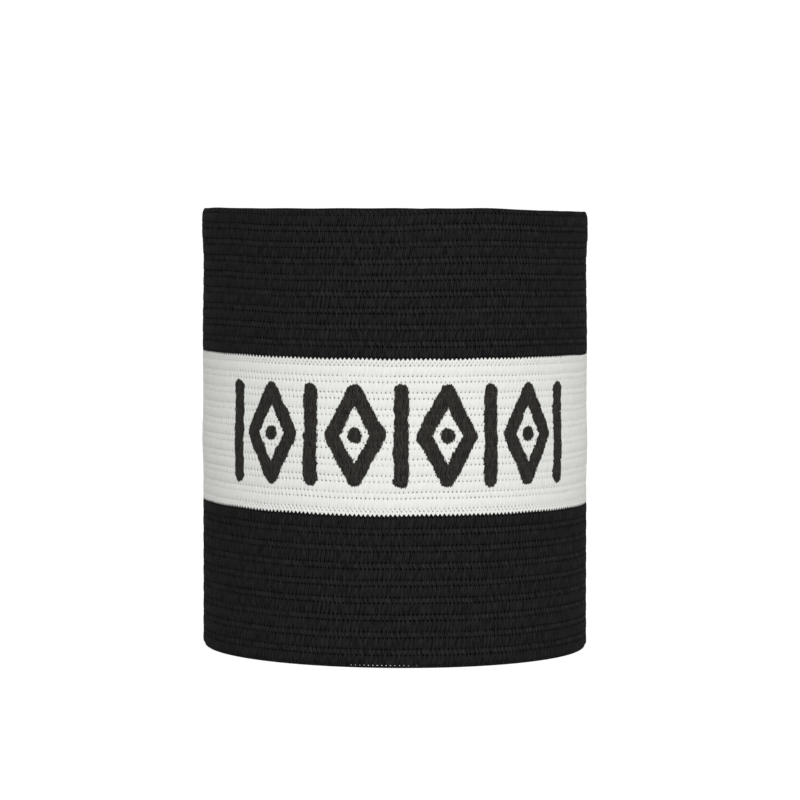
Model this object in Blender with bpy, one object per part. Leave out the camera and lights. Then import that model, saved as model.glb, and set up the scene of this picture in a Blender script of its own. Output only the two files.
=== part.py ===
"""A captain's armband: a loop of ribbed knitted elastic in three coloured stripes.

The band is one strip of knitted elastic, black, white and black across its width, whose ends are
sewn together at the back. It stands on its lower edge, with its axis along Z and its front
towards -Y. The origin is the middle of its footprint. Lengths are in metres, angles in degrees.
"""

import math
from collections import namedtuple

import bmesh
import bpy

# The band's size. The wall is measured at the crest of a rib.
OUTER_RADIUS = 0.044
WALL = 0.0016
LOWER_HEIGHT = 0.0333
MIDDLE_HEIGHT = 0.0342
UPPER_HEIGHT = 0.0325
STRIPE_GAP = 0.0003

# The ribs run round the band. A sunk wale, one chain of stitches wide, lies between two ribs.
RIBS_IN_STRIPE = 9
RIB_DEPTH = 0.00035
RIB_SHOULDER = 0.0003
WALE_WIDTH = 0.00135
PLAIN_MARGIN = 0.0005

# The selvedges are thin threads, and the wall's outer corner is rounded there.
LOWER_SELVEDGE = 0.0004
UPPER_SELVEDGE = 0.00105
RIM_INSET = 0.0007
RIM_DROP = 0.0003

# How the soft wall departs from a true cylinder
TOP_LEAN = -0.00063
WALL_SWELL = 0.0002
RIM_WAVE = 0.0003

# The two seam allowances, opened and folded flat inside the back
SEAM_WIDTH = 0.012
SEAM_THICKNESS = 0.0012
SEAM_SETBACK = 0.001
SEAM_CLEARANCE = 0.0003

# Facets round the band, and across the seam
ROUND_STEPS = 40
SEAM_STEPS = 4

HEIGHT = LOWER_HEIGHT + MIDDLE_HEIGHT + UPPER_HEIGHT
INNER_RADIUS = OUTER_RADIUS - WALL
SAME_PLACE = 1e-6

# How far the wall swells out, as a share of WALL_SWELL, at shares of the band's height
Swell = namedtuple("Swell", "height_share swell_share")
SWELLS = (
    Swell(0.00, 0.3),
    Swell(0.10, -0.8),
    Swell(0.30, -0.8),
    Swell(0.38, -0.5),
    Swell(0.47, 0.8),
    Swell(0.56, -0.2),
    Swell(0.70, 0.5),
    Swell(0.88, -0.4),
    Swell(0.96, 1.0),
    Swell(1.00, 0.6),
)

# How far the upper edge rises, as a share of RIM_WAVE, at angles from the front towards +X
Rise = namedtuple("Rise", "angle rise_share")
RISES = (
    Rise(-180, 0.3),
    Rise(-120, -0.4),
    Rise(-58, 0.2),
    Rise(-32, -0.5),
    Rise(0, 0.2),
    Rise(27, 1.0),
    Rise(54, -0.6),
    Rise(100, -0.8),
    Rise(180, 0.3),
)

# A stripe has a plain foot and head, and its ribs share the height between them.
Stripe = namedtuple("Stripe", "name height foot head colour roughness")
BLACK_YARN = (0.014, 0.014, 0.015, 1.0)
WHITE_YARN = (0.76, 0.78, 0.74, 1.0)
YARN_ROUGHNESS = 0.85
STRIPES = (
    Stripe("lower_stripe", LOWER_HEIGHT, LOWER_SELVEDGE, PLAIN_MARGIN, BLACK_YARN, YARN_ROUGHNESS),
    Stripe("middle_stripe", MIDDLE_HEIGHT, WALE_WIDTH, WALE_WIDTH, WHITE_YARN, YARN_ROUGHNESS),
    Stripe("upper_stripe", UPPER_HEIGHT, PLAIN_MARGIN, UPPER_SELVEDGE, BLACK_YARN, YARN_ROUGHNESS),
)


def clear_scene():
    """Removes every object, so that the file holds the band alone."""
    for item in list(bpy.data.objects):
        bpy.data.objects.remove(item)


def eased(rows, place):
    """Reads a table of (place, share) rows, easing from each row to the next."""
    for before, after in zip(rows, rows[1:]):
        if place <= after[0]:
            along = max(0.0, place - before[0]) / (after[0] - before[0])
            ease = (1 - math.cos(math.pi * along)) / 2
            return before[1] + (after[1] - before[1]) * ease
    return rows[-1][1]


def settle(vertex):
    """Moves a vertex of the true cylinder to where the soft wall has it."""
    x, y, z = vertex.co
    height_share = z / HEIGHT
    radius = math.hypot(x, y)
    swollen = (radius + WALL_SWELL * eased(SWELLS, height_share)) / radius
    angle = math.degrees(math.atan2(x, -y))
    upper_share = max(0.0, (z - LOWER_HEIGHT - MIDDLE_HEIGHT) / UPPER_HEIGHT)
    vertex.co.x = x * swollen + TOP_LEAN * (height_share - 0.5)
    vertex.co.y = y * swollen
    vertex.co.z = z + RIM_WAVE * eased(RISES, angle) * upper_share


def rib_profile(stripe, low):
    """The ribbed outer profile of a stripe between its foot and its head, from the bottom up."""
    ribbed = stripe.height - stripe.foot - stripe.head
    pitch = (ribbed + WALE_WIDTH) / RIBS_IN_STRIPE
    groove = OUTER_RADIUS - RIB_DEPTH
    profile = []
    for rib in range(RIBS_IN_STRIPE):
        start = low + stripe.foot + rib * pitch
        end = start + pitch - WALE_WIDTH
        profile += [
            (groove, start),
            (OUTER_RADIUS, start + RIB_SHOULDER),
            (OUTER_RADIUS, end - RIB_SHOULDER),
            (groove, end),
        ]
    return profile


def stripe_profile(stripe, low):
    """The closed profile of a stripe's wall, as (radius, height) points, outer face first."""
    high = low + stripe.height
    groove = OUTER_RADIUS - RIB_DEPTH
    if low > 0:
        bottom = [(groove, low + STRIPE_GAP / 2)]
    else:
        bottom = [(OUTER_RADIUS - RIM_INSET, 0.0)]
    if high < HEIGHT - SAME_PLACE:
        top = [(groove, high - STRIPE_GAP / 2)]
    else:
        top = [(groove, high - RIM_DROP), (OUTER_RADIUS - RIM_INSET, high)]
    outer = bottom + rib_profile(stripe, low) + top
    middle = (outer[0][1] + outer[-1][1]) / 2
    inner = [(INNER_RADIUS, outer[-1][1]), (INNER_RADIUS, middle), (INNER_RADIUS, outer[0][1])]
    return outer + inner


def spun(profile, start, turn, steps):
    """Spins a closed (radius, height) profile round Z into a bmesh, with caps if it isn't a ring."""
    shape = bmesh.new()
    towards_x, towards_y = math.sin(start), -math.cos(start)
    corners = [shape.verts.new((r * towards_x, r * towards_y, z)) for r, z in profile]
    face = shape.faces.new(corners)
    whole_turn = math.isclose(turn, 2 * math.pi)
    section = list(face.verts) + list(face.edges)
    if whole_turn:
        bmesh.ops.delete(shape, geom=[face], context="FACES_ONLY")
    else:
        section.append(face)
    bmesh.ops.spin(
        shape,
        geom=section,
        cent=(0, 0, 0),
        axis=(0, 0, 1),
        angle=turn,
        steps=steps,
        use_merge=whole_turn,
    )
    bmesh.ops.remove_doubles(shape, verts=shape.verts[:], dist=SAME_PLACE)
    bmesh.ops.recalc_face_normals(shape, faces=shape.faces[:])
    return shape


def yarn(name, colour, roughness):
    """A Principled material for knitted elastic."""
    material = bpy.data.materials.new(name)
    material.use_nodes = True
    shader = material.node_tree.nodes["Principled BSDF"]
    shader.inputs["Base Color"].default_value = colour
    shader.inputs["Roughness"].default_value = roughness
    shader.inputs["Metallic"].default_value = 0.0
    return material


def add_piece(name, shape, material, parent):
    """Settles a bmesh as soft cloth and makes it a named object."""
    for vertex in shape.verts:
        settle(vertex)
    mesh = bpy.data.meshes.new(name)
    shape.to_mesh(mesh)
    shape.free()
    mesh.shade_smooth()
    mesh.set_sharp_from_angle(angle=math.radians(30))
    mesh.materials.append(material)
    piece = bpy.data.objects.new(name, mesh)
    piece.parent = parent
    bpy.context.scene.collection.objects.link(piece)
    return piece


def seam_profile():
    """The section of the folded allowances, level with the stripes' ends so that it follows them."""
    outer = INNER_RADIUS * math.cos(math.pi / ROUND_STEPS) - SEAM_CLEARANCE
    inner = outer - SEAM_THICKNESS
    levels = [
        SEAM_SETBACK,
        LOWER_HEIGHT / 2,
        LOWER_HEIGHT,
        LOWER_HEIGHT + MIDDLE_HEIGHT / 2,
        LOWER_HEIGHT + MIDDLE_HEIGHT,
        HEIGHT - UPPER_HEIGHT / 2,
        HEIGHT - SEAM_SETBACK,
    ]
    return [(outer, z) for z in levels] + [(inner, z) for z in reversed(levels)]


def build():
    """Models the band: a ring for each stripe, and the seam behind them."""
    clear_scene()
    band = bpy.data.objects.new("armband", None)
    bpy.context.scene.collection.objects.link(band)

    low = 0.0
    for stripe in STRIPES:
        ring = spun(stripe_profile(stripe, low), 0.0, 2 * math.pi, ROUND_STEPS)
        material = yarn(stripe.name + "_elastic", stripe.colour, stripe.roughness)
        add_piece(stripe.name, ring, material, band)
        low += stripe.height

    seam_turn = SEAM_WIDTH / INNER_RADIUS
    seam = spun(seam_profile(), math.pi - seam_turn / 2, seam_turn, SEAM_STEPS)
    add_piece("back_seam", seam, yarn("seam_elastic", BLACK_YARN, YARN_ROUGHNESS), band)


build()
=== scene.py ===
"""The looks of a captain's armband: a standing loop of ribbed elastic, black, white and black."""

import math
from collections import namedtuple

import bmesh
import bpy
import numpy as np
from mathutils import Matrix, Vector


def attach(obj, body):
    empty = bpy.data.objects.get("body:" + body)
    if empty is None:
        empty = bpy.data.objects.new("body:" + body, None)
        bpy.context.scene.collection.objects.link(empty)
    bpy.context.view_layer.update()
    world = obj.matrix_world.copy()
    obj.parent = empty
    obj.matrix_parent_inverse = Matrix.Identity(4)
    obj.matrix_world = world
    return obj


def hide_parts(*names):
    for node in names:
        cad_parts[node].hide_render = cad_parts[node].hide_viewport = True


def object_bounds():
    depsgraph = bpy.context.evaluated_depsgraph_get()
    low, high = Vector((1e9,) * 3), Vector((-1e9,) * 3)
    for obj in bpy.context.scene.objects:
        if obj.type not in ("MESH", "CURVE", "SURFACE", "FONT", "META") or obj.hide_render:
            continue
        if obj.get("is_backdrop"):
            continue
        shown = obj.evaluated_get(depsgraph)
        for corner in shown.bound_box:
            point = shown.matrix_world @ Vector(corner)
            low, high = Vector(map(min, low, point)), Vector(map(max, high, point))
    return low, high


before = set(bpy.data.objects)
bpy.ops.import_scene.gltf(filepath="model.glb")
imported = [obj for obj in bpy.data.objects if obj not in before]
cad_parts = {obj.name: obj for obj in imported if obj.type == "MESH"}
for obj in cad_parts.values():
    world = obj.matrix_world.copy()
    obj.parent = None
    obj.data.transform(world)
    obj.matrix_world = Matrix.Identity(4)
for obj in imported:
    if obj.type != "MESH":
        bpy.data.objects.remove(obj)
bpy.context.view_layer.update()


# Lower stripe
# Black ribbed elastic, warp-knitted from polyester yarn over rubber threads. Its wide ribs of floating
# filaments lie between narrow sunk chains of stitches, and a thin selvedge thread closes its lower edge.

OUTER_RADIUS = 0.044
WALL = 0.0016
INNER_RADIUS = OUTER_RADIUS - WALL
LOWER_HEIGHT = 0.0333
MIDDLE_HEIGHT = 0.0342
UPPER_HEIGHT = 0.0325
BAND_HEIGHT = LOWER_HEIGHT + MIDDLE_HEIGHT + UPPER_HEIGHT
MM = 0.001

# A stitch is 1 mm wide, and the mesh has a column at each quarter of it.
STITCHES = 280
QUARTERS = 4 * STITCHES
STITCH_TURN = 2 * math.pi / STITCHES

# The holes lie on both sides of a chain, this share of a rib from its middle.
RIBS = 9
CHAIN_WIDTH = 1.35 * MM
CHAIN_SHARE = 0.185
SHOULDER_IN = 0.27 * MM
CHAIN_IN = 0.25 * MM

# What the stitches do along a row, in mm: its depth under the crests of the ribs, and how much
# deeper and higher its four quarters lie. A hole is at the first quarter.
Knot = namedtuple("Knot", "depth dips lifts")
FLAT = (0.0, 0.0, 0.0, 0.0)
CREST = Knot(0.0, FLAT, FLAT)
SHOULDER = Knot(0.01, (0.06, 0.02, 0.0, 0.02), FLAT)
HOLES_OVER_CHAIN = Knot(0.10, (0.55, 0.08, 0.0, 0.08), FLAT)
HOLES_UNDER_CHAIN = Knot(0.07, (0.55, 0.08, 0.0, 0.08), FLAT)
FAINT_HOLES = Knot(0.08, (0.21, 0.05, 0.0, 0.05), FLAT)
CHAIN = Knot(0.05, (0.10, 0.0, 0.0, 0.10), FLAT)

# A row of the mesh: its radius and height on the plain ring, its stitches, how far they are shifted
# along it in stitches, and whether it is on the inner face
Row = namedtuple("Row", "radius height knot shift inside")


def stripe_pitch(height, foot, head):
    """The distance from one rib of a stripe to the next."""
    return (height - foot - head + CHAIN_WIDTH) / RIBS


def rib_rows(low, height, foot, head):
    """The rows of the ribs on the outer face, and of the chains between them, from the bottom up."""
    pitch = stripe_pitch(height, foot, head)
    rows = []
    for rib in range(RIBS):
        start = low + foot + rib * pitch
        end = start + pitch - CHAIN_WIDTH
        rows += [
            Row(OUTER_RADIUS, start, HOLES_OVER_CHAIN, 0.0, False),
            Row(OUTER_RADIUS, start + SHOULDER_IN, SHOULDER, 0.04, False),
            Row(OUTER_RADIUS, (start + end) / 2, CREST, 0.20, False),
            Row(OUTER_RADIUS, end - SHOULDER_IN, SHOULDER, 0.36, False),
            Row(OUTER_RADIUS, end, HOLES_UNDER_CHAIN, 0.40, False),
        ]
        if rib < RIBS - 1:
            rows.append(Row(OUTER_RADIUS, end + CHAIN_IN, CHAIN, 0.33, False))
            rows.append(Row(OUTER_RADIUS, end + CHAIN_WIDTH - CHAIN_IN, CHAIN, 0.07, False))
    return rows


# The back of the knit has plainer ribs.
BACK_CHAIN = Knot(0.30, (0.08, 0.03, 0.0, 0.03), FLAT)


def back_rows(low, height, foot, head):
    """The rows of the inner face, from the top down."""
    pitch = stripe_pitch(height, foot, head)
    rows = []
    for rib in reversed(range(RIBS)):
        start = low + foot + rib * pitch
        rows.append(Row(INNER_RADIUS, start + (pitch - CHAIN_WIDTH) / 2, CREST, 0.2, True))
        if rib > 0:
            rows.append(Row(INNER_RADIUS, start - CHAIN_WIDTH / 2, BACK_CHAIN, 0.2, True))
    return rows


# A ring is spun as a wedge of a few stitches first, which is then copied all the way round.
WEDGE = 28


def spun_section(rows, start, columns):
    """Spins a closed section round Z, with a column for each quarter stitch.

    Each vertex keeps its row's number.
    """
    shape = bmesh.new()
    row_of = shape.verts.layers.int.new("row")
    turn = start * STITCH_TURN / 4
    corners = [
        shape.verts.new((row.radius * math.sin(turn), -row.radius * math.cos(turn), row.height))
        for row in rows
    ]
    for number, corner in enumerate(corners):
        corner[row_of] = number
    for corner, following in zip(corners, corners[1:] + corners[:1]):
        shape.edges.new((corner, following))
    bmesh.ops.spin(
        shape,
        geom=shape.verts[:] + shape.edges[:],
        cent=(0, 0, 0),
        axis=(0, 0, 1),
        angle=columns * STITCH_TURN / 4,
        steps=columns,
    )
    return shape


def closed_ring(wedge):
    """Copies a wedge all the way round, and joins the copies into a ring."""
    bmesh.ops.spin(
        wedge,
        geom=wedge.verts[:] + wedge.edges[:] + wedge.faces[:],
        cent=(0, 0, 0),
        axis=(0, 0, 1),
        angle=2 * math.pi,
        steps=QUARTERS // WEDGE,
        use_duplicate=True,
    )
    bmesh.ops.remove_doubles(wedge, verts=wedge.verts[:], dist=0.001 * MM)
    bmesh.ops.recalc_face_normals(wedge, faces=wedge.faces[:])
    return wedge


# How many times each wave comes round the band
WAVES_ROUND_BAND = (2, 3, 5, 8, 13, 21)


def slow_waves(angle, seed, strength):
    """A smooth irregular wave round the band, closed on itself."""
    chance = np.random.default_rng(seed)
    wave = np.zeros_like(angle)
    for turns in WAVES_ROUND_BAND:
        strong = chance.normal(0, 1 / math.sqrt(turns))
        wave += strong * np.sin(turns * angle + chance.uniform(0, 6.3))
    return strength * wave


# How the soft wall swells out of true, at shares of the band's height, and how the upper edges of the
# three stripes rise and fall, in mm, at angles from the front towards +X
SWELL_AT = (0.0, 0.10, 0.30, 0.38, 0.47, 0.56, 0.70, 0.88, 0.96, 1.0)
SWELLS = (0.3, 0.05, 0.05, -0.2, 0.9, -0.2, 0.25, -1.0, 0.7, 0.0)
WALL_SWELL = 0.2 * MM
RISE_AT = (-180, -120, -90, -58, -32, -10, 0, 12, 27, 54, 78, 100, 180)
LOWER_RISES = (0.2, 0.5, 0.75, 0.60, 0.35, 0.10, 0.20, 0.35, 0.25, 0.32, 0.30, 0.2, 0.2)
MIDDLE_RISES = (0.0, 0.0, -0.05, 0.0, -0.05, -0.05, -0.15, -0.12, 0.0, -0.10, -0.35, -0.3, 0.0)
UPPER_RISES = (0.1, -0.1, -0.10, 0.12, -0.38, -0.35, -0.15, 0.30, 0.35, -0.12, -0.35, -0.3, 0.1)
TOP_LEAN = -0.63 * MM


def eased(at, shares, places):
    """Reads a table of shares at places, easing from each to the next."""
    at = np.array(at, float)
    before = np.clip(np.searchsorted(at, places) - 1, 0, len(at) - 2)
    along = np.clip((places - at[before]) / (at[before + 1] - at[before]), 0, 1)
    ease = (1 - np.cos(math.pi * along)) / 2
    shares = np.array(shares, float)
    return shares[before] + (shares[before + 1] - shares[before]) * ease


# The two ends of the strip meet in a shallow furrow down the back, where their selvedges match, but
# the rows between them don't quite.
FURROW_DEPTH = 1.0 * MM
FURROW_WIDTH = 0.45 * MM
END_MISMATCH = 0.12 * MM
MISMATCH_REACH = 4 * MM
LEVEL_TOP = 6 * MM

# The rows wander a little, in waves of so many turns round the band and so much rise, but the foot
# stands flat on the floor.
ROW_WANDER = 0.035 * MM
ROW_WAVES = ((7, 9 * MM), (19, -5 * MM))
FLAT_FOOT = 4 * MM


def settled(angle, radius, height, outside):
    """Where a point of the plain cylinder lies on the soft, sewn band."""
    share = height / BAND_HEIGHT
    back = (np.mod(angle, 2 * math.pi) - math.pi) * OUTER_RADIUS
    radius = radius + WALL_SWELL * eased(SWELL_AT, SWELLS, share)
    radius = radius - outside * FURROW_DEPTH * np.exp(-((back / FURROW_WIDTH) ** 2))
    wide = np.degrees(np.mod(angle + math.pi, 2 * math.pi) - math.pi)
    held = np.clip(height / FLAT_FOOT, 0, 1)
    up_lower = np.clip(height / LOWER_HEIGHT, 0, 1)
    up_middle = np.clip((height - LOWER_HEIGHT) / MIDDLE_HEIGHT, 0, 1)
    up_upper = np.clip((height - LOWER_HEIGHT - MIDDLE_HEIGHT) / UPPER_HEIGHT, 0, 1)
    lift = MM * eased(RISE_AT, LOWER_RISES, wide) * (up_lower - up_middle)
    lift += MM * eased(RISE_AT, MIDDLE_RISES, wide) * (up_middle - up_upper)
    lift += MM * eased(RISE_AT, UPPER_RISES, wide) * up_upper
    for turns, rise in ROW_WAVES:
        lift += held * ROW_WANDER * np.sin(turns * angle + height / rise)
    level = np.clip((BAND_HEIGHT - height) / LEVEL_TOP, 0, 1) * held
    lift += level * END_MISMATCH * np.sign(back) * np.exp(-np.abs(back) / MISMATCH_REACH)
    x = radius * np.sin(angle) + TOP_LEAN * (share - 0.5)
    y = -radius * np.cos(angle)
    return np.stack([x, y, height + lift], axis=1)


# A row's holes show in full from OPEN_DIP up, in mm, and on the inner face they show less. A stripe's
# relief scales its ribs and the dips up to SHALLOW_DIP on the outer face, but not its holes.
OPEN_DIP = 0.52
SHALLOW_DIP = 0.12
BACK_OPENNESS = 0.7

# How unevenly the stitches are drawn: the share that a hole is open, how far it strays from its place
# along the row, in stitches, and how rough the yarn lies, in mm
OPEN_MEAN = 0.9
OPEN_WAVES = 0.22
OPEN_CHANCE = 0.17
OPEN_LEAST = 0.2
OPEN_MOST = 1.4
STRAY_WAVES = 0.05
STRAY_CHANCE = 0.035
YARN_ROUGH = 0.012


def knit(mesh, rows, seed, relief):
    """Moves the vertices of a plain ring to where its stitches hold them.

    It returns the row and the column of each vertex.
    """
    count = len(mesh.vertices)
    place = np.empty(3 * count)
    mesh.vertices.foreach_get("co", place)
    place = place.reshape(-1, 3)
    row = np.empty(count, int)
    mesh.attributes["row"].data.foreach_get("value", row)
    column = np.rint(np.arctan2(place[:, 0], -place[:, 1]) / STITCH_TURN * 4).astype(int) % QUARTERS
    quarter = column % 4
    stitch = (column + 1) // 4 % STITCHES

    chance = np.random.default_rng(seed)
    round_band = np.arange(STITCHES) * STITCH_TURN
    opened = []
    for n in range(len(rows)):
        drawn = OPEN_MEAN + slow_waves(round_band, seed * 100 + n, OPEN_WAVES)
        drawn += chance.normal(0, OPEN_CHANCE, STITCHES)
        opened.append(np.clip(drawn, OPEN_LEAST, OPEN_MOST))
    strayed = []
    for n in range(len(rows)):
        waves = slow_waves(round_band, seed * 200 + n, STRAY_WAVES)
        strayed.append(waves + chance.normal(0, STRAY_CHANCE, STITCHES))
    opened = np.array(opened)[row, stitch]
    shift = np.array([r.shift for r in rows])[row] + np.array(strayed)[row, stitch]
    inside = np.array([r.inside for r in rows])[row]
    dips = np.array([r.knot.dips for r in rows])[row, quarter]
    dips = dips * opened * np.where((dips > SHALLOW_DIP) | inside, 1, relief)
    lifts = np.array([r.knot.lifts for r in rows])[row, quarter]
    deepest = np.array([r.knot.dips[0] for r in rows])[row]
    depth = np.where(inside, 1, relief) * np.array([r.knot.depth for r in rows])[row] + dips
    depth += YARN_ROUGH * chance.normal(0, 1, count)
    radius = np.array([r.radius for r in rows])[row] + np.where(inside, depth, -depth) * MM
    height = np.array([r.height for r in rows])[row] + lifts * MM
    angle = column * STITCH_TURN / 4 + shift * STITCH_TURN
    mesh.vertices.foreach_set("co", settled(angle, radius, height, ~inside).ravel())
    openness = mesh.attributes.new("openness", "FLOAT", "POINT")
    shown = np.maximum(np.minimum(1, deepest / OPEN_DIP), BACK_OPENNESS * inside)
    openness.data.foreach_set("value", (opened * shown).astype(np.float32))
    return row, column


# Where the bake's map has the two faces of a stripe, each in three thirds of the way round
OUTER_ROWS = 0.245
INNER_ROWS = 0.085
MAP_MARGIN = 0.003


def ribs_up(rows, low, height, foot, head):
    """How many ribs up its stripe each row lies. Chains are at whole numbers."""
    pitch = stripe_pitch(height, foot, head)
    return [(row.height - low - foot + CHAIN_WIDTH / 2) / pitch for row in rows]


def map_stitches(mesh, ribs, row, column):
    """Gives a mesh a map in stitches and ribs, which its pattern follows.

    It returns what the bake's map needs of each corner.
    """
    corner = np.empty(len(mesh.loops), int)
    mesh.loops.foreach_get("vertex_index", corner)
    first = np.empty(len(mesh.polygons), int)
    mesh.polygons.foreach_get("loop_start", first)
    size = np.empty(len(mesh.polygons), int)
    mesh.polygons.foreach_get("loop_total", size)
    face = np.repeat(np.arange(len(first)), size)

    # A face across the join has its columns counted on past the last one.
    wide = column[corner]
    highest = np.maximum.reduceat(wide, first)[face]
    wide = np.where(highest - wide > QUARTERS / 2, wide + QUARTERS, wide)
    stitched = mesh.uv_layers.new(name="stitches")
    places = np.stack([wide / 4, np.array(ribs)[row[corner]]], 1)
    stitched.uv.foreach_set("vector", places.astype(np.float32).ravel())
    return corner, first, face, wide


def map_for_bake(mesh, rows, row, corner, first, face, wide):
    """Lays the outer face of a ring out in three long rows, and the inner face in three narrow ones."""
    turned = next(n for n, r in enumerate(rows) if r.inside)
    lowest_row = np.minimum.reduceat(row[corner], first)[face]
    closing = (np.maximum.reduceat(row[corner], first)[face] - lowest_row) > 1
    along = np.where(closing & (row[corner] == 0), len(rows), row[corner])
    outer = (lowest_row < turned) & ~closing
    share = np.where(outer, along / turned, (along - turned) / (len(rows) - turned))
    third = np.minimum(np.minimum.reduceat(wide, first)[face] * 3 // QUARTERS, 2)
    across = (wide - third * QUARTERS / 3) / (QUARTERS / 3 + 2)
    tall_share = np.where(outer, OUTER_ROWS, INNER_ROWS)
    base = np.where(outer, 0.0, 3 * OUTER_ROWS) + third * tall_share
    up = base + MAP_MARGIN + share * (tall_share - 2 * MAP_MARGIN)
    baked = mesh.uv_layers.new(name="OFBake")
    places = np.stack([MAP_MARGIN + across * (1 - 2 * MAP_MARGIN), up], 1)
    baked.uv.foreach_set("vector", places.astype(np.float32).ravel())
    mesh.uv_layers.active = mesh.uv_layers["stitches"]


CUT_EDGE_ANGLE = math.radians(75)


def placed(name, mesh, material):
    """Makes a finished mesh an object, smooth but for its cut edges."""
    mesh.shade_smooth()
    mesh.set_sharp_from_angle(angle=CUT_EDGE_ANGLE)
    mesh.materials.append(material)
    piece = bpy.data.objects.new(name, mesh)
    bpy.context.scene.collection.objects.link(piece)
    return piece


def knitted_ring(name, low, height, foot, head, rows, seed, relief, material, shape=None):
    """A stripe of the band, from the rows of its section to a finished piece.

    A shape function may cut the wedge before it is copied round.
    """
    wedge = spun_section(rows, 0, WEDGE)
    if shape:
        shape(wedge)
    ring = closed_ring(wedge)
    mesh = bpy.data.meshes.new(name)
    ring.to_mesh(mesh)
    ring.free()
    row, column = knit(mesh, rows, seed, relief)
    ribs = ribs_up(rows, low, height, foot, head)
    map_for_bake(mesh, rows, row, *map_stitches(mesh, ribs, row, column))
    return placed(name, mesh, material)


def linear(code):
    """An sRGB hex colour as linear red, green, blue and alpha."""
    shares = [int(code[n : n + 2], 16) / 255 for n in (1, 3, 5)]
    return [s / 12.92 if s <= 0.04045 else ((s + 0.055) / 1.055) ** 2.4 for s in shares] + [1.0]


def add_node(tree, kind, settings, links):
    """Adds a node with its settings, by attribute or input, and its links, by input and source."""
    node = tree.nodes.new(kind)
    for name, value in settings.items():
        if isinstance(name, str) and hasattr(node, name):
            setattr(node, name, value)
        else:
            node.inputs[name].default_value = value
    for name, socket in links.items():
        tree.links.new(socket, node.inputs[name])
    return node


# Textured polyester yarn is matt: its filaments show as faint streaks up the ribs, and the holes
# between stitches as dark specks of painted shade. Filaments are 0.05 mm wide and would not show,
# so they are drawn as streaks of 0.25 mm, bundles of 0.5 mm and strands of 1 mm, one strand to a stitch.
YARN_ROUGHNESS = 0.9
STREAKS_IN_STITCH = 4.0
STREAKS_IN_RIB = 1.6
STREAK_SPREAD = (0.28, 0.72)
STREAK_DEPTH = 0.12 * MM
BUNDLES_IN_STITCH = 2.0
BUNDLE_SHADE = 0.12
STRAND_SHADE = 0.03
STRAND_TURN = math.pi / 2 + 2.25
STRANDS_STRAY = 9.0

# Holes are given in mm and mapped by stitches and ribs, and fade between two shares of their size.
# Their colour is painted shade.
STITCH_MM = 0.99
RIB_MM = 3.65
HOLE_FADE = (1.25, 0.45)

# A painted highlight lies on the bead of yarn this share of a stitch past each hole, and fades
# between two shares of a rib.
BEAD_HIGHLIGHT_SHIFT = 0.2
BEAD_HIGHLIGHT_FADE = (0.16, 0.03)


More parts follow.
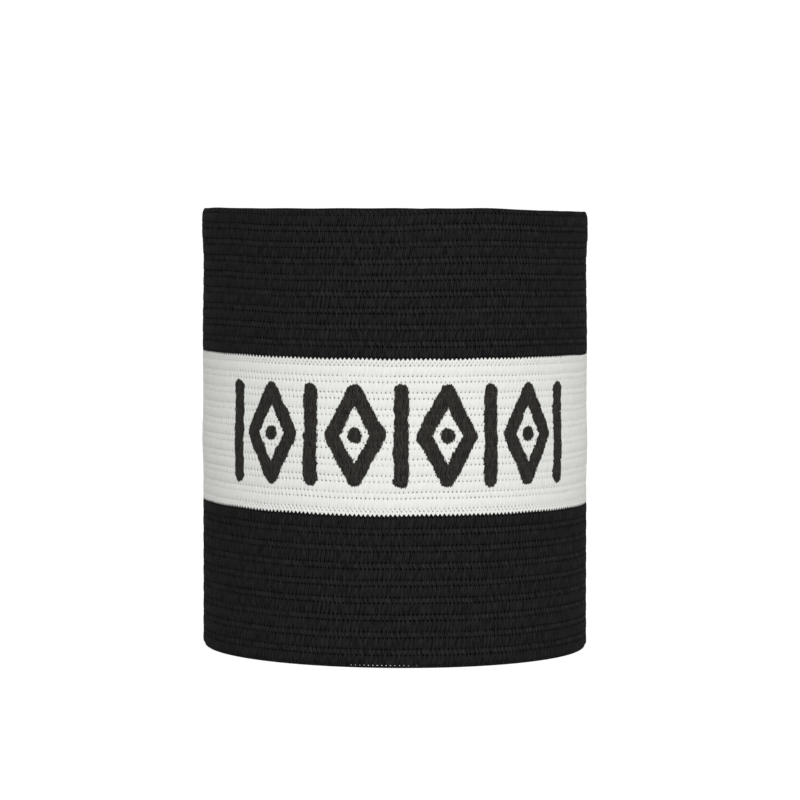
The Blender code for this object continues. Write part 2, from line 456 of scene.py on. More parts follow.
def knitted_elastic(name, shade, tint, painted_hole_shade, hole, bead_highlight, gloss, relief):
    """A material of knitted yarn, whose hole is its half width and half height, in mm.

    It returns the material, its shader, and the colour, holes and streaks that a print needs.
    """
    material = bpy.data.materials.new(name)
    material.use_nodes = True
    tree = material.node_tree
    shader = tree.nodes["Principled BSDF"]
    shader.inputs["Roughness"].default_value = YARN_ROUGHNESS
    shader.inputs["Specular IOR Level"].default_value = gloss
    stitches = add_node(tree, "ShaderNodeUVMap", {"uv_map": "stitches"}, {})
    parts = add_node(tree, "ShaderNodeSeparateXYZ", {}, {0: stitches.outputs["UV"]})
    round_x = add_node(tree, "ShaderNodeMath", {"operation": "ROUND"}, {0: parts.outputs["X"]})
    off_hole = add_node(
        tree,
        "ShaderNodeMath",
        {"operation": "SUBTRACT"},
        {0: parts.outputs["X"], 1: round_x.outputs[0]},
    )
    round_y = add_node(tree, "ShaderNodeMath", {"operation": "ROUND"}, {0: parts.outputs["Y"]})
    off_chain = add_node(
        tree,
        "ShaderNodeMath",
        {"operation": "SUBTRACT"},
        {0: parts.outputs["Y"], 1: round_y.outputs[0]},
    )
    chain = add_node(tree, "ShaderNodeMath", {"operation": "ABSOLUTE"}, {0: off_chain.outputs[0]})
    beside_chain = add_node(
        tree,
        "ShaderNodeMath",
        {"operation": "SUBTRACT", 1: CHAIN_SHARE},
        {0: chain.outputs[0]},
    )
    off_row = add_node(tree, "ShaderNodeMath", {"operation": "ABSOLUTE"}, {0: beside_chain.outputs[0]})
    # The outermost loops of a stripe have a row of holes, painted dark, too, but no painted highlights
    # on beads.
    off_middle = add_node(
        tree,
        "ShaderNodeMath",
        {"operation": "SUBTRACT", 1: RIBS / 2},
        {0: parts.outputs["Y"]},
    )
    to_edge = add_node(tree, "ShaderNodeMath", {"operation": "ABSOLUTE"}, {0: off_middle.outputs[0]})
    off_loops = add_node(
        tree,
        "ShaderNodeMath",
        {"operation": "SUBTRACT", 1: RIBS / 2},
        {0: to_edge.outputs[0]},
    )
    off_loop = add_node(tree, "ShaderNodeMath", {"operation": "ABSOLUTE"}, {0: off_loops.outputs[0]})
    nearest_row = add_node(
        tree,
        "ShaderNodeMath",
        {"operation": "MINIMUM"},
        {0: off_row.outputs[0], 1: off_loop.outputs[0]},
    )
    among_ribs = add_node(
        tree,
        "ShaderNodeMath",
        {"operation": "LESS_THAN", 1: RIBS / 2 - CHAIN_SHARE},
        {0: to_edge.outputs[0]},
    )
    from_hole = add_node(
        tree,
        "ShaderNodeCombineXYZ",
        {},
        {0: off_hole.outputs[0], 1: nearest_row.outputs[0]},
    )
    scaled = add_node(
        tree,
        "ShaderNodeVectorMath",
        {"operation": "MULTIPLY", 1: (STITCH_MM / hole[0], RIB_MM / hole[1], 0)},
        {0: from_hole.outputs[0]},
    )
    distance = add_node(
        tree, "ShaderNodeVectorMath", {"operation": "LENGTH"}, {0: scaled.outputs[0]}
    )
    in_hole = add_node(
        tree,
        "ShaderNodeMapRange",
        {
            "interpolation_type": "SMOOTHSTEP",
            "From Min": HOLE_FADE[0],
            "From Max": HOLE_FADE[1],
        },
        {"Value": distance.outputs["Value"]},
    )
    openness = add_node(tree, "ShaderNodeAttribute", {"attribute_name": "openness"}, {})
    opened = add_node(
        tree,
        "ShaderNodeMath",
        {"operation": "MULTIPLY", "use_clamp": True},
        {0: in_hole.outputs["Result"], 1: openness.outputs["Fac"]},
    )
    stretch = add_node(
        tree,
        "ShaderNodeVectorMath",
        {"operation": "MULTIPLY", 1: (STREAKS_IN_STITCH, STREAKS_IN_RIB, 1)},
        {0: stitches.outputs["UV"]},
    )
    streaks = add_node(
        tree,
        "ShaderNodeTexNoise",
        {"noise_dimensions": "2D", "Scale": 1.0, "Detail": 2.0, "Roughness": 0.6},
        {"Vector": stretch.outputs[0]},
    )
    yarn = add_node(
        tree,
        "ShaderNodeMix",
        {"data_type": "RGBA", "clamp_factor": True, 6: linear(shade), 7: linear(tint)},
        {},
    )
    strayed = add_node(
        tree,
        "ShaderNodeMath",
        {"operation": "MULTIPLY", 1: STRANDS_STRAY},
        {0: streaks.outputs["Fac"]},
    )
    winding = add_node(
        tree,
        "ShaderNodeMath",
        {"operation": "MULTIPLY_ADD", 1: 2 * math.pi * BUNDLES_IN_STITCH},
        {0: parts.outputs["X"], 2: strayed.outputs[0]},
    )
    bundles = add_node(tree, "ShaderNodeMath", {"operation": "SINE"}, {0: winding.outputs[0]})
    bundled = add_node(
        tree,
        "ShaderNodeMath",
        {"operation": "MULTIPLY_ADD", 1: BUNDLE_SHADE},
        {0: bundles.outputs[0], 2: streaks.outputs["Fac"]},
    )
    half_wound = add_node(
        tree,
        "ShaderNodeMath",
        {"operation": "MULTIPLY_ADD", 1: 1 / BUNDLES_IN_STITCH, 2: -STRAND_TURN},
        {0: winding.outputs[0]},
    )
    strands = add_node(tree, "ShaderNodeMath", {"operation": "SINE"}, {0: half_wound.outputs[0]})
    stranded = add_node(
        tree,
        "ShaderNodeMath",
        {"operation": "MULTIPLY_ADD", 1: STRAND_SHADE},
        {0: strands.outputs[0], 2: bundled.outputs[0]},
    )
    spread = add_node(
        tree,
        "ShaderNodeMapRange",
        {"From Min": STREAK_SPREAD[0], "From Max": STREAK_SPREAD[1]},
        {"Value": stranded.outputs[0]},
    )
    tree.links.new(spread.outputs["Result"], yarn.inputs["Factor"])
    # Down the middle of a chain runs one bead of yarn a stitch, painted lighter as a highlight on it.
    off_bead = add_node(
        tree,
        "ShaderNodeMath",
        {"operation": "MULTIPLY_ADD", 1: 2 * math.pi, 2: -2 * math.pi * BEAD_HIGHLIGHT_SHIFT},
        {0: off_hole.outputs[0]},
    )
    wave = add_node(tree, "ShaderNodeMath", {"operation": "COSINE"}, {0: off_bead.outputs[0]})
    highlight_wave = add_node(
        tree,
        "ShaderNodeMath",
        {"operation": "MULTIPLY_ADD", 1: 0.5 * bead_highlight, 2: 0.5 * bead_highlight},
        {0: wave.outputs[0]},
    )
    in_chain = add_node(
        tree,
        "ShaderNodeMapRange",
        {
            "interpolation_type": "SMOOTHSTEP",
            "From Min": BEAD_HIGHLIGHT_FADE[0],
            "From Max": BEAD_HIGHLIGHT_FADE[1],
        },
        {"Value": chain.outputs[0]},
    )
    in_inner_chain = add_node(
        tree,
        "ShaderNodeMath",
        {"operation": "MULTIPLY"},
        {0: in_chain.outputs["Result"], 1: among_ribs.outputs[0]},
    )
    highlighted = add_node(
        tree,
        "ShaderNodeMath",
        {"operation": "MULTIPLY_ADD", 2: 1.0},
        {0: highlight_wave.outputs[0], 1: in_inner_chain.outputs[0]},
    )
    highlighted_yarn = add_node(
        tree,
        "ShaderNodeVectorMath",
        {"operation": "SCALE"},
        {0: yarn.outputs[2], "Scale": highlighted.outputs[0]},
    )
    # Painted shade: the holes are mixed towards a darker colour, as the shade in them.
    knit_colour = add_node(
        tree,
        "ShaderNodeMix",
        {"data_type": "RGBA", 7: linear(painted_hole_shade)},
        {"Factor": opened.outputs[0], 6: highlighted_yarn.outputs[0]},
    )
    tree.links.new(knit_colour.outputs[2], shader.inputs["Base Color"])
    bump = add_node(
        tree,
        "ShaderNodeBump",
        {"Strength": relief, "Distance": STREAK_DEPTH},
        {"Height": spread.outputs["Result"]},
    )
    tree.links.new(bump.outputs["Normal"], shader.inputs["Normal"])
    return material, shader, knit_colour, opened, spread


# Black yarn is dyed through, so that it's neutral, and its holes are painted darker still, as the shade
# in them.
BLACK_SHADE = "#0b0b0b"
BLACK_TINT = "#272727"
BLACK_PAINTED_HOLE_SHADE = "#010101"
black_elastic = knitted_elastic(
    "black_polyester_elastic",
    shade=BLACK_SHADE,
    tint=BLACK_TINT,
    painted_hole_shade=BLACK_PAINTED_HOLE_SHADE,
    hole=(0.30, 0.46),
    bead_highlight=0.5,
    gloss=0.05,
    relief=0.2,
)[0]

LOWER_FOOT = 0.4 * MM
PLAIN_MARGIN = 0.5 * MM

# The white yarn's loops reach into the black ones, so the border is a zigzag with one tooth a stitch.
TEETH_UP = (0.32, 0.0, -0.32, 0.0)
TEETH_DOWN = (-0.32, 0.0, 0.32, 0.0)
BLACK_TEETH_UP = Knot(0.14, FLAT, TEETH_UP)
BLACK_TEETH_DOWN = Knot(0.14, FLAT, TEETH_DOWN)
WHITE_TEETH_UP = Knot(0.02, FLAT, TEETH_UP)
WHITE_TEETH_DOWN = Knot(0.02, FLAT, TEETH_DOWN)
UPPER_TEETH_SHIFT = 0.9
LOWER_TEETH_SHIFT = 0.5
BORDER_GAP = 0.01 * MM

# The selvedge thread runs along the foot, and each stitch leaves a gap over it.
SELVEDGE_THREAD = Knot(0.42, (0.05, 0.02, 0.0, 0.02), FLAT)
THREAD_UNDER = Knot(0.75, FLAT, FLAT)
OVER_THREAD = Knot(0.45, (0.05, 0.05, 0.0, 0.0), FLAT)
OVER_GAPS = Knot(0.25, (0.10, 0.10, 0.0, 0.0), FLAT)
BACK_GAPS = Knot(0.05, FLAT, FLAT)
BACK_UNDER = Knot(0.5, FLAT, FLAT)
END_EDGE = Knot(0.0, FLAT, FLAT)

lower_rows = rib_rows(0.0, LOWER_HEIGHT, LOWER_FOOT, PLAIN_MARGIN)
lower_rows[0] = Row(OUTER_RADIUS, 0.69 * MM, OVER_GAPS, 0.0, False)
lower_rows[1] = Row(OUTER_RADIUS, 1.05 * MM, SHOULDER, 0.05, False)
lower_section = (
    [
        Row(OUTER_RADIUS, 0.0, THREAD_UNDER, 0.0, False),
        Row(OUTER_RADIUS, 0.20 * MM, SELVEDGE_THREAD, 0.0, False),
        Row(OUTER_RADIUS, 0.51 * MM, OVER_THREAD, 0.0, False),
    ]
    + lower_rows
    + [
        Row(OUTER_RADIUS, LOWER_HEIGHT - BORDER_GAP, BLACK_TEETH_DOWN, LOWER_TEETH_SHIFT, False),
        Row(INNER_RADIUS, LOWER_HEIGHT - BORDER_GAP, END_EDGE, 0.0, True),
    ]
    + back_rows(0.0, LOWER_HEIGHT, LOWER_FOOT, PLAIN_MARGIN)[:-1]
    + [
        Row(INNER_RADIUS, 1.10 * MM, END_EDGE, -0.1, True),
        Row(INNER_RADIUS, 0.58 * MM, BACK_GAPS, -0.11, True),
        Row(INNER_RADIUS, 0.34 * MM, BACK_GAPS, -0.11, True),
        Row(INNER_RADIUS, 0.0, BACK_UNDER, -0.1, True),
    ]
)


def open_selvedge(wedge):
    """Cuts the gap that each stitch leaves over the selvedge thread right through the wall."""
    row_of = wedge.verts.layers.int["row"]
    last = len(lower_section) - 1
    outer_gap = {2, 3}
    inner_gap = {last - 2, last - 1}
    gaps = {}
    for face in wedge.faces:
        rows = {corner[row_of] for corner in face.verts}
        if rows not in (outer_gap, inner_gap):
            continue
        middle = face.calc_center_median()
        column = math.floor(math.atan2(middle.x, -middle.y) / STITCH_TURN * 4) % QUARTERS
        if column % 4 == 0:
            gaps.setdefault(column, []).append(face)
    for pair in gaps.values():
        rims = [edge for face in pair for edge in face.edges]
        bmesh.ops.delete(wedge, geom=pair, context="FACES_ONLY")
        bmesh.ops.bridge_loops(wedge, edges=rims)


lower_stripe = knitted_ring(
    "lower_stripe_knit",
    0.0,
    LOWER_HEIGHT,
    LOWER_FOOT,
    PLAIN_MARGIN,
    lower_section,
    seed=3,
    relief=1.0,
    material=black_elastic,
    shape=open_selvedge,
)
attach(lower_stripe, "root")
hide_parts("lower_stripe")


# Middle stripe
# The same knit in white yarn, one strip with the black. A pattern is screen-printed on its front in
# dark ink, which lies on the yarn, wicks a little along it, and misses the holes.

# The outermost white loops, which make the teeth of the borders, and the row of holes behind them
LOOP_OVER = Knot(0.02, (0.26, 0.04, 0.0, 0.04), FLAT)
LOOP_UNDER = Knot(0.02, (0.55, 0.08, 0.0, 0.08), FLAT)
LOOP_BEND = 0.55 * MM
LOOP_END = 0.82 * MM
BESIDE_CHAIN = 0.20 * MM
MIDDLE_TOP = LOWER_HEIGHT + MIDDLE_HEIGHT

middle_section = (
    [
        Row(OUTER_RADIUS, LOWER_HEIGHT + BORDER_GAP, WHITE_TEETH_DOWN, LOWER_TEETH_SHIFT, False),
        Row(OUTER_RADIUS, LOWER_HEIGHT + LOOP_BEND, SHOULDER, LOWER_TEETH_SHIFT, False),
        Row(OUTER_RADIUS, LOWER_HEIGHT + LOOP_END, LOOP_UNDER, LOWER_TEETH_SHIFT, False),
        Row(OUTER_RADIUS, LOWER_HEIGHT + CHAIN_WIDTH - BESIDE_CHAIN, SHOULDER, 0.06, False),
    ]
    + rib_rows(LOWER_HEIGHT, MIDDLE_HEIGHT, CHAIN_WIDTH, CHAIN_WIDTH)
    + [
        Row(OUTER_RADIUS, MIDDLE_TOP - CHAIN_WIDTH + BESIDE_CHAIN, SHOULDER, 0.44, False),
        Row(OUTER_RADIUS, MIDDLE_TOP - LOOP_END, LOOP_OVER, UPPER_TEETH_SHIFT, False),
        Row(OUTER_RADIUS, MIDDLE_TOP - LOOP_BEND, SHOULDER, UPPER_TEETH_SHIFT, False),
        Row(OUTER_RADIUS, MIDDLE_TOP - BORDER_GAP, WHITE_TEETH_UP, UPPER_TEETH_SHIFT, False),
        Row(INNER_RADIUS, MIDDLE_TOP - BORDER_GAP, END_EDGE, 0.0, True),
    ]
    + back_rows(LOWER_HEIGHT, MIDDLE_HEIGHT, CHAIN_WIDTH, CHAIN_WIDTH)
    + [Row(INNER_RADIUS, LOWER_HEIGHT + BORDER_GAP, END_EDGE, 0.0, True)]
)

# White yarn is bleached, not dyed, a little yellow and green of neutral, and its holes are painted grey,
# as the shade in them and the dark rubber threads behind.
WHITE_SHADE = "#dfe0dc"
WHITE_TINT = "#ebece7"
WHITE_PAINTED_HOLE_SHADE = "#7f807b"
white_elastic, white_shader, white_colour, white_holes, white_streaks = knitted_elastic(
    "white_polyester_elastic",
    shade=WHITE_SHADE,
    tint=WHITE_TINT,
    painted_hole_shade=WHITE_PAINTED_HOLE_SHADE,
    hole=(0.16, 0.25),
    bead_highlight=0.03,
    gloss=0.2,
    relief=0.1,
)

# The print, in mm from its middle: bars and outlined lozenges in strokes with round ends. Dark
# screen ink is matt on yarn. Its edge wavers with the stitches and wicks along the filaments.
PRINT_MIDDLE = (1.4, 50.8)
PRINT_TALL = 22.7
STROKE = 3.4
PRINT_PITCH = 20.5
LOZENGE_WIDE = 14.0
PRINT_REACH = 43.5
INK_SHADE = "#0d0c0a"
INK_TINT = "#383531"
INK_WICKING = 0.35
INK_EDGE = 0.08
INK_MISSES = 0.16
WAVER = 0.9
WAVERS_IN_METRE = 420.0

tree = white_elastic.node_tree
where = add_node(tree, "ShaderNodeTexCoord", {}, {})
wavering = add_node(
    tree,
    "ShaderNodeTexNoise",
    {"Scale": WAVERS_IN_METRE, "Detail": 1.0},
    {"Vector": where.outputs["Object"]},
)
waver = add_node(
    tree,
    "ShaderNodeVectorMath",
    {"operation": "SUBTRACT", 1: (0.5, 0.5, 0.5)},
    {0: wavering.outputs["Color"]},
)
place = add_node(tree, "ShaderNodeSeparateXYZ", {}, {0: where.outputs["Object"]})
forward = add_node(tree, "ShaderNodeMath", {"operation": "MULTIPLY", 1: -1.0}, {0: place.outputs["Y"]})
bearing = add_node(
    tree,
    "ShaderNodeMath",
    {"operation": "ARCTAN2"},
    {0: place.outputs["X"], 1: forward.outputs[0]},
)
flat_place = add_node(
    tree,
    "ShaderNodeCombineXYZ",
    {},
    {0: bearing.outputs[0], 1: place.outputs["Z"]},
)
in_mm = add_node(
    tree,
    "ShaderNodeVectorMath",
    {
        "operation": "MULTIPLY_ADD",
        1: (OUTER_RADIUS / MM, 1 / MM, 0.0),
        2: (-PRINT_MIDDLE[0], -PRINT_MIDDLE[1], 0.0),
    },
    {0: flat_place.outputs[0]},
)
wavered = add_node(
    tree,
    "ShaderNodeVectorMath",
    {"operation": "MULTIPLY_ADD", 1: (WAVER, WAVER, 0.0)},
    {0: waver.outputs[0], 2: in_mm.outputs[0]},
)
on_print = add_node(tree, "ShaderNodeSeparateXYZ", {}, {0: wavered.outputs[0]})
repeated = add_node(
    tree,
    "ShaderNodeMath",
    {"operation": "WRAP", 1: PRINT_PITCH, 2: 0.0},
    {0: on_print.outputs["X"]},
)
off_lozenge = add_node(
    tree,
    "ShaderNodeMath",
    {"operation": "SUBTRACT", 1: PRINT_PITCH / 2},
    {0: repeated.outputs[0]},
)
one_side = add_node(tree, "ShaderNodeMath", {"operation": "ABSOLUTE"}, {0: off_lozenge.outputs[0]})
one_half = add_node(tree, "ShaderNodeMath", {"operation": "ABSOLUTE"}, {0: on_print.outputs["Y"]})
corner = (LOZENGE_WIDE - STROKE) / 2
peak = (PRINT_TALL - STROKE) / 2
side_length = math.hypot(corner, peak)
from_corner = add_node(
    tree,
    "ShaderNodeCombineXYZ",
    {},
    {0: one_side.outputs[0], 1: one_half.outputs[0]},
)
off_corner = add_node(
    tree,
    "ShaderNodeVectorMath",
    {"operation": "SUBTRACT", 1: (corner, 0.0, 0.0)},
    {0: from_corner.outputs[0]},
)
along_side = add_node(
    tree,
    "ShaderNodeVectorMath",
    {"operation": "DOT_PRODUCT", 1: (-corner / side_length**2, peak / side_length**2, 0.0)},
    {0: off_corner.outputs[0]},
)
held_side = add_node(
    tree,
    "ShaderNodeMath",
    {"operation": "ADD", "use_clamp": True, 1: 0.0},
    {0: along_side.outputs["Value"]},
)
on_side = add_node(
    tree,
    "ShaderNodeVectorMath",
    {"operation": "SCALE", 0: (-corner, peak, 0.0)},
    {"Scale": held_side.outputs[0]},
)
from_lozenge = add_node(
    tree,
    "ShaderNodeVectorMath",
    {"operation": "DISTANCE"},
    {0: off_corner.outputs[0], 1: on_side.outputs[0]},
)
beside_bar = add_node(
    tree,
    "ShaderNodeMath",
    {"operation": "SUBTRACT", 1: PRINT_PITCH / 2},
    {0: one_side.outputs[0]},
)
past_bar = add_node(
    tree,
    "ShaderNodeMath",
    {"operation": "SUBTRACT", 1: peak},
    {0: one_half.outputs[0]},
)
beyond_bar = add_node(tree, "ShaderNodeMath", {"operation": "MAXIMUM", 1: 0.0}, {0: past_bar.outputs[0]})
off_bar = add_node(
    tree,
    "ShaderNodeCombineXYZ",
    {},
    {0: beside_bar.outputs[0], 1: beyond_bar.outputs[0]},
)
from_bar = add_node(tree, "ShaderNodeVectorMath", {"operation": "LENGTH"}, {0: off_bar.outputs[0]})
from_line = add_node(
    tree,
    "ShaderNodeMath",
    {"operation": "MINIMUM"},
    {0: from_lozenge.outputs["Value"], 1: from_bar.outputs["Value"]},
)
from_dot = add_node(
    tree, "ShaderNodeVectorMath", {"operation": "LENGTH"}, {0: from_corner.outputs[0]}
)
from_stroke = add_node(
    tree,
    "ShaderNodeMath",
    {"operation": "MINIMUM"},
    {0: from_line.outputs[0], 1: from_dot.outputs["Value"]},
)
wicked = add_node(
    tree,
    "ShaderNodeMath",
    {"operation": "MULTIPLY_ADD", 1: -INK_WICKING},
    {0: white_streaks.outputs["Result"], 2: from_stroke.outputs[0]},
)
inked = add_node(
    tree,
    "ShaderNodeMapRange",
    {
        "interpolation_type": "SMOOTHSTEP",
        "From Min": (STROKE - INK_WICKING) / 2 + INK_EDGE,
        "From Max": (STROKE - INK_WICKING) / 2 - INK_EDGE,
    },
    {"Value": wicked.outputs[0]},
)
from_middle = add_node(tree, "ShaderNodeMath", {"operation": "ABSOLUTE"}, {0: on_print.outputs["X"]})
on_front = add_node(
    tree,
    "ShaderNodeMath",
    {"operation": "LESS_THAN", 1: PRINT_REACH},
    {0: from_middle.outputs[0]},
)
hole_shown = add_node(
    tree,
    "ShaderNodeMath",
    {"operation": "MULTIPLY_ADD", 1: -INK_MISSES, 2: 1.0},
    {0: white_holes.outputs[0]},
)
front_ink = add_node(
    tree,
    "ShaderNodeMath",
    {"operation": "MULTIPLY"},
    {0: inked.outputs["Result"], 1: on_front.outputs[0]},
)
ink_cover = add_node(
    tree,
    "ShaderNodeMath",
    {"operation": "MULTIPLY", "use_clamp": True},
    {0: front_ink.outputs[0], 1: hole_shown.outputs[0]},
)
ink = add_node(
    tree,
    "ShaderNodeMix",
    {"data_type": "RGBA", 6: linear(INK_SHADE), 7: linear(INK_TINT)},
    {"Factor": white_streaks.outputs["Result"]},
)
printed = add_node(
    tree,
    "ShaderNodeMix",
    {"data_type": "RGBA"},
    {"Factor": ink_cover.outputs[0], 6: white_colour.outputs[2], 7: ink.outputs[2]},
)
tree.links.new(printed.outputs[2], white_shader.inputs["Base Color"])

middle_stripe = knitted_ring(
    "middle_stripe_knit",
    LOWER_HEIGHT,
    MIDDLE_HEIGHT,
    CHAIN_WIDTH,
    CHAIN_WIDTH,
    middle_section,
    seed=5,
    relief=0.4,
    material=white_elastic,
)
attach(middle_stripe, "root")
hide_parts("middle_stripe")


# Upper stripe
# Black again, like the lower stripe. Its selvedge at the top is a narrow plain edge with a row of
# small holes, rounded over by the wear of sleeves.

UPPER_HEAD = 1.05 * MM
SELVEDGE_HOLES = Knot(0.26, (0.15, 0.04, 0.0, 0.04), FLAT)
SELVEDGE_BAND = Knot(0.12, (0.05, 0.02, 0.0, 0.02), FLAT)
RIM_THREAD = Knot(0.30, (0.03, 0.01, 0.0, 0.01), FLAT)

upper_rows = rib_rows(MIDDLE_TOP, UPPER_HEIGHT, PLAIN_MARGIN, UPPER_HEAD)
upper_rows[0] = upper_rows[0]._replace(knot=FAINT_HOLES)
upper_section = (
    [Row(OUTER_RADIUS, MIDDLE_TOP + BORDER_GAP, BLACK_TEETH_UP, UPPER_TEETH_SHIFT, False)]
    + upper_rows
    + [
        Row(OUTER_RADIUS, BAND_HEIGHT - 0.75 * MM, SELVEDGE_BAND, 0.3, False),
        Row(OUTER_RADIUS, BAND_HEIGHT - 0.45 * MM, SELVEDGE_HOLES, 0.1, False),
        Row(OUTER_RADIUS, BAND_HEIGHT - 0.18 * MM, RIM_THREAD, 0.1, False),
        Row(OUTER_RADIUS - 0.62 * MM, BAND_HEIGHT, END_EDGE, 0.1, False),
        Row(INNER_RADIUS + 0.45 * MM, BAND_HEIGHT, END_EDGE, 0.1, False),
        Row(INNER_RADIUS, BAND_HEIGHT - 0.35 * MM, END_EDGE, 0.1, True),
    ]
    + back_rows(MIDDLE_TOP, UPPER_HEIGHT, PLAIN_MARGIN, UPPER_HEAD)
    + [Row(INNER_RADIUS, MIDDLE_TOP + BORDER_GAP, END_EDGE, 0.0, True)]
)
upper_stripe = knitted_ring(
    "upper_stripe_knit",
    MIDDLE_TOP,
    UPPER_HEIGHT,
    PLAIN_MARGIN,
    UPPER_HEAD,
    upper_section,
    seed=7,
    relief=1.0,
    material=black_elastic,
)
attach(upper_stripe, "root")
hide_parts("upper_stripe")


# Seam allowances
# The two ends of the strip are sewn face to face, and their allowances lie open, flat on the inside
# of the back, with the crease of the seam between them.

SEAM_COLUMNS = 48
SEAM_SETBACK = 1.0 * MM
ALLOWANCE_BACK = INNER_RADIUS - 0.02 * MM
ALLOWANCE_FACE = INNER_RADIUS - 1.30 * MM
ALLOWANCE_HALF = SEAM_COLUMNS / 2 * STITCH_TURN / 4 * ALLOWANCE_FACE
BACK_STEP = 7 * MM

# The crease of the seam sinks by a share of the thickness, and so do the free edges, past a share of
# the half width.
CREASE_WIDTH = 0.7 * MM
CREASE_SUNK = 0.92
FREE_FROM = 0.82
FREE_SUNK = 0.35

allowance_rows = []
allowance_ribs = []
for low, height, foot, head in (
    (0.0, LOWER_HEIGHT, LOWER_FOOT, PLAIN_MARGIN),
    (LOWER_HEIGHT, MIDDLE_HEIGHT, CHAIN_WIDTH, CHAIN_WIDTH),
    (MIDDLE_TOP, UPPER_HEIGHT, PLAIN_MARGIN, UPPER_HEAD),
):
    seen_rows = rib_rows(low, height, foot, head)
    allowance_rows += [row._replace(radius=ALLOWANCE_FACE, inside=True) for row in seen_rows]
    allowance_ribs += ribs_up(seen_rows, low, height, foot, head)
kept = [n for n, row in enumerate(allowance_rows) if row.height > SEAM_SETBACK + 0.5 * MM]
allowance_rows = [allowance_rows[n] for n in kept]
allowance_ribs = [allowance_ribs[n] for n in kept]
TURNED = Knot(0.25, FLAT, FLAT)
level = BAND_HEIGHT - SEAM_SETBACK
allowance_rows.append(Row(ALLOWANCE_FACE, level, TURNED, 0.0, True))
while level > SEAM_SETBACK:
    allowance_rows.append(Row(ALLOWANCE_BACK, level, CREST, 0.0, True))
    level -= BACK_STEP
allowance_rows.append(Row(ALLOWANCE_BACK, SEAM_SETBACK, CREST, 0.0, True))
allowance_rows.append(Row(ALLOWANCE_FACE, SEAM_SETBACK, TURNED, 0.0, True))
allowance_ribs += [0.5] * (len(allowance_rows) - len(allowance_ribs))

# The same yarns in one piece: black, with white at the heights of the middle stripe
seam_elastic, seam_shader, seam_colour, seam_holes, seam_streaks = knitted_elastic(
    "striped_polyester_elastic",
    shade=BLACK_SHADE,
    tint=BLACK_TINT,
    painted_hole_shade=BLACK_PAINTED_HOLE_SHADE,
    hole=(0.22, 0.34),
    bead_highlight=0.5,
    gloss=0.05,
    relief=0.2,
)
tree = seam_elastic.node_tree
white_yarn = add_node(
    tree,
    "ShaderNodeMix",
    {"data_type": "RGBA", 6: linear(WHITE_SHADE), 7: linear(WHITE_TINT)},
    {"Factor": seam_streaks.outputs["Result"]},
)
# Painted shade: the holes of the white yarn are mixed towards grey, as the shade in them.
white_knit = add_node(
    tree,
    "ShaderNodeMix",
    {"data_type": "RGBA", 7: linear(WHITE_PAINTED_HOLE_SHADE)},
    {"Factor": seam_holes.outputs[0], 6: white_yarn.outputs[2]},
)
where = add_node(tree, "ShaderNodeTexCoord", {}, {})
place = add_node(tree, "ShaderNodeSeparateXYZ", {}, {0: where.outputs["Object"]})
from_white = add_node(
    tree,
    "ShaderNodeMath",
    {"operation": "COMPARE", 1: LOWER_HEIGHT + MIDDLE_HEIGHT / 2, 2: MIDDLE_HEIGHT / 2},
    {0: place.outputs["Z"]},
)
striped = add_node(
    tree,
    "ShaderNodeMix",
    {"data_type": "RGBA"},
    {"Factor": from_white.outputs[0], 6: seam_colour.outputs[2], 7: white_knit.outputs[2]},
)
tree.links.new(striped.outputs[2], seam_shader.inputs["Base Color"])

slab = spun_section(allowance_rows, QUARTERS // 2 - SEAM_COLUMNS // 2, SEAM_COLUMNS)
bmesh.ops.holes_fill(slab, edges=[edge for edge in slab.edges if edge.is_boundary], sides=0)
bmesh.ops.recalc_face_normals(slab, faces=slab.faces[:])
slab_mesh = bpy.data.meshes.new("seam_allowances")
slab.to_mesh(slab_mesh)
slab.free()
row, column = knit(slab_mesh, allowance_rows, seed=11, relief=1.0)
map_stitches(slab_mesh, allowance_ribs, row, column)
for corner in slab_mesh.vertices:
    x, y = corner.co.xy
    radius = math.hypot(x, y)
    back = (math.atan2(x, -y) % (2 * math.pi) - math.pi) * radius
    free = max(0.0, abs(back) / ALLOWANCE_HALF - FREE_FROM) / (1 - FREE_FROM)
    sunk = CREASE_SUNK * math.exp(-((back / CREASE_WIDTH) ** 2)) + FREE_SUNK * free**2
    moved = (radius + (ALLOWANCE_BACK - radius) * min(1.0, sunk)) / radius
    corner.co.x = x * moved
    corner.co.y = y * moved
seam_allowances = placed("seam_allowances", slab_mesh, seam_elastic)
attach(seam_allowances, "root")
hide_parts("back_seam")


# Overlock thread
# Spun polyester thread that binds the free edges of the allowances: it runs back and forth between
# the cut edge and a line of needle stitches 3 mm inside it.

OVERLOCK_STITCH = 2.4 * MM
OVERLOCK_WIDE = 3.2 * MM
THREAD_RADIUS = 0.13 * MM

# Spun polyester is matt with a faint sheen, and its plies show as slanting bands 0.35 mm apart.
PLY_SCALE = 900.0
thread_polyester = bpy.data.materials.new("spun_polyester_thread")
thread_polyester.use_nodes = True
thread_shader = thread_polyester.node_tree.nodes["Principled BSDF"]
thread_shader.inputs["Roughness"].default_value = 0.6
thread_shader.inputs["Specular IOR Level"].default_value = 0.3
thread_where = add_node(thread_polyester.node_tree, "ShaderNodeTexCoord", {}, {})
thread_plies = add_node(
    thread_polyester.node_tree,
    "ShaderNodeTexWave",
    {"bands_direction": "DIAGONAL", "Scale": PLY_SCALE, "Distortion": 1.0},
    {"Vector": thread_where.outputs["Object"]},
)
thread_colour = add_node(
    thread_polyester.node_tree,
    "ShaderNodeMix",
    {"data_type": "RGBA", 6: linear("#10100f"), 7: linear("#2c2b29")},
    {"Factor": thread_plies.outputs["Fac"]},
)
thread_polyester.node_tree.links.new(thread_colour.outputs[2], thread_shader.inputs["Base Color"])

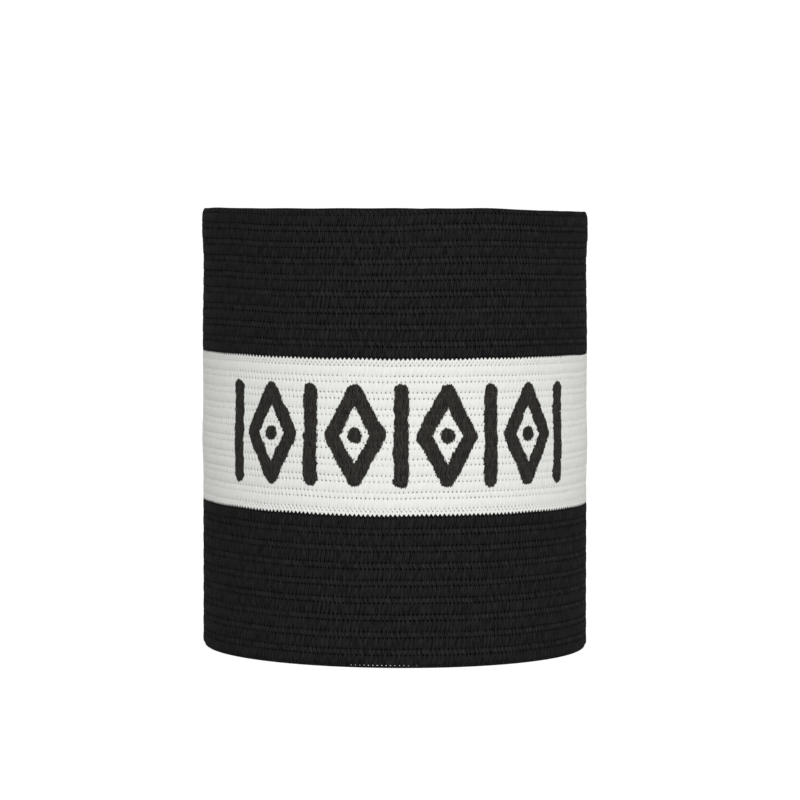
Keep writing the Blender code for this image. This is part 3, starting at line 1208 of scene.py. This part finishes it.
thread_data = bpy.data.curves.new("overlock_thread", "CURVE")
thread_data.dimensions = "3D"
thread_data.bevel_depth = THREAD_RADIUS
thread_data.bevel_resolution = 1
thread_data.use_fill_caps = True


def lay_thread(points):
    """Adds one length of thread through points given as (distance from the back, radius, height)."""
    line = thread_data.splines.new("POLY")
    line.points.add(len(points) - 1)
    for point, (back, radius, height) in zip(line.points, points):
        turn = math.pi + back / radius
        point.co = (radius * math.sin(turn), -radius * math.cos(turn), height, 1.0)


# The looper's path over one stitch, in mm: how far in from the free edge, how high over the face, and
# how far up. The needle's path is how high over the face and how far up.
LOOPER_PATH = (
    (3.2, 0.10, 0.0),
    (1.7, 0.16, 0.5),
    (0.3, 0.05, 1.0),
    (-0.12, -0.60, 1.2),
    (0.3, 0.05, 1.4),
    (1.7, 0.18, 1.9),
)
NEEDLE_PATH = ((-0.15, 0.0), (0.10, 0.4), (0.10, 2.0))
FIRST_STITCH = SEAM_SETBACK + 0.6 * MM
for side in (-1, 1):
    looper = []
    needle = []
    height = FIRST_STITCH
    while height < BAND_HEIGHT - SEAM_SETBACK - OVERLOCK_STITCH:
        for inward, over, rise in LOOPER_PATH:
            back = side * (ALLOWANCE_HALF - inward * MM)
            looper.append((back, ALLOWANCE_FACE - over * MM, height + rise * MM))
        beside = side * (ALLOWANCE_HALF - OVERLOCK_WIDE)
        for over, rise in NEEDLE_PATH:
            needle.append((beside, ALLOWANCE_FACE - over * MM, height + rise * MM))
        height += OVERLOCK_STITCH
    lay_thread(looper)
    lay_thread(needle)
thread_data.materials.append(thread_polyester)
overlock_thread = bpy.data.objects.new("overlock_thread", thread_data)
bpy.context.scene.collection.objects.link(overlock_thread)
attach(overlock_thread, "root")


# Floor, light and camera
# A pale matt table that is lit from within, as a product table is, in plain soft studio light. The
# camera stands in front of the band, a little higher than its upper edge, and looks slightly down.

TABLE_HALF = 12.0
TABLE_GLOW = 0.85
ROOM_LIGHT = 0.57
BACKDROP_LIGHT = 1.05

floor_shape = bmesh.new()
bmesh.ops.create_grid(floor_shape, x_segments=1, y_segments=1, size=TABLE_HALF)
floor_mesh = bpy.data.meshes.new("floor")
floor_shape.to_mesh(floor_mesh)
floor_shape.free()

# Opal acrylic with a sanded face has no gloss, and the light within leaves hardly a shadow on it.
table_acrylic = bpy.data.materials.new("white_acrylic_table")
table_acrylic.use_nodes = True
table_shader = table_acrylic.node_tree.nodes["Principled BSDF"]
table_shader.inputs["Base Color"].default_value = linear("#9a9a9a")
table_shader.inputs["Roughness"].default_value = 1.0
table_shader.inputs["Specular IOR Level"].default_value = 0.0
table_shader.inputs["Emission Color"].default_value = linear("#ffffff")
table_shader.inputs["Emission Strength"].default_value = TABLE_GLOW
floor_mesh.materials.append(table_acrylic)
floor = bpy.data.objects.new("floor", floor_mesh)
floor.visible_diffuse = False
floor.visible_glossy = False
bpy.context.scene.collection.objects.link(floor)
floor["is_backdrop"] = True

world = bpy.data.worlds.new("studio")
world.use_nodes = True
bpy.context.scene.world = world
sky = world.node_tree
background = sky.nodes["Background"]
background.inputs["Color"].default_value = linear("#ffffff")
background.inputs["Strength"].default_value = ROOM_LIGHT
backdrop = add_node(sky, "ShaderNodeBackground", {"Strength": BACKDROP_LIGHT}, {})
backdrop.inputs["Color"].default_value = linear("#ffffff")
seen = add_node(sky, "ShaderNodeLightPath", {}, {})
either = add_node(
    sky,
    "ShaderNodeMixShader",
    {},
    {0: seen.outputs["Is Camera Ray"], 1: background.outputs[0], 2: backdrop.outputs[0]},
)
sky.links.new(either.outputs[0], sky.nodes["World Output"].inputs["Surface"])


def softbox(name, place, size, watts):
    """A square soft light that faces the middle of the band."""
    lamp = bpy.data.lights.new(name, "AREA")
    lamp.energy = watts
    lamp.size = size
    box = bpy.data.objects.new(name, lamp)
    box.location = place
    aim = Matrix.Translation((0, 0, 0.05)).translation - box.location
    box.rotation_euler = aim.to_track_quat("-Z", "Y").to_euler()
    bpy.context.scene.collection.objects.link(box)


softbox("key_softbox", (0.22, -1.5, 0.85), 0.9, 17.0)
softbox("back_softbox", (-0.4, 1.6, 1.0), 1.0, 9.0)

CAMERA_BACK = 0.812
CAMERA_UP = 0.1014
CAMERA_TILT = math.radians(3.185)
CAMERA_ROLL = math.radians(0.38)
CAMERA_TURN = math.radians(-0.080)
FOCAL_PIXELS = 3542
PICTURE_WIDE = 800
SENSOR_WIDE = 36.0

camera_data = bpy.data.cameras.new("camera")
camera_data.sensor_width = SENSOR_WIDE
camera_data.lens = FOCAL_PIXELS / PICTURE_WIDE * SENSOR_WIDE
camera_data.clip_start = 0.05
camera_data.clip_end = 50.0
camera = bpy.data.objects.new("camera", camera_data)
camera.location = (0.0, -CAMERA_BACK, CAMERA_UP)
turned_to = (
    Matrix.Rotation(CAMERA_TURN, 3, "Z")
    @ Matrix.Rotation(math.pi / 2 - CAMERA_TILT, 3, "X")
    @ Matrix.Rotation(CAMERA_ROLL, 3, "Z")
)
camera.rotation_euler = turned_to.to_euler()
bpy.context.scene.collection.objects.link(camera)
bpy.context.scene.camera = camera
bpy.context.scene.view_settings.view_transform = "Standard"

low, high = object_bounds()
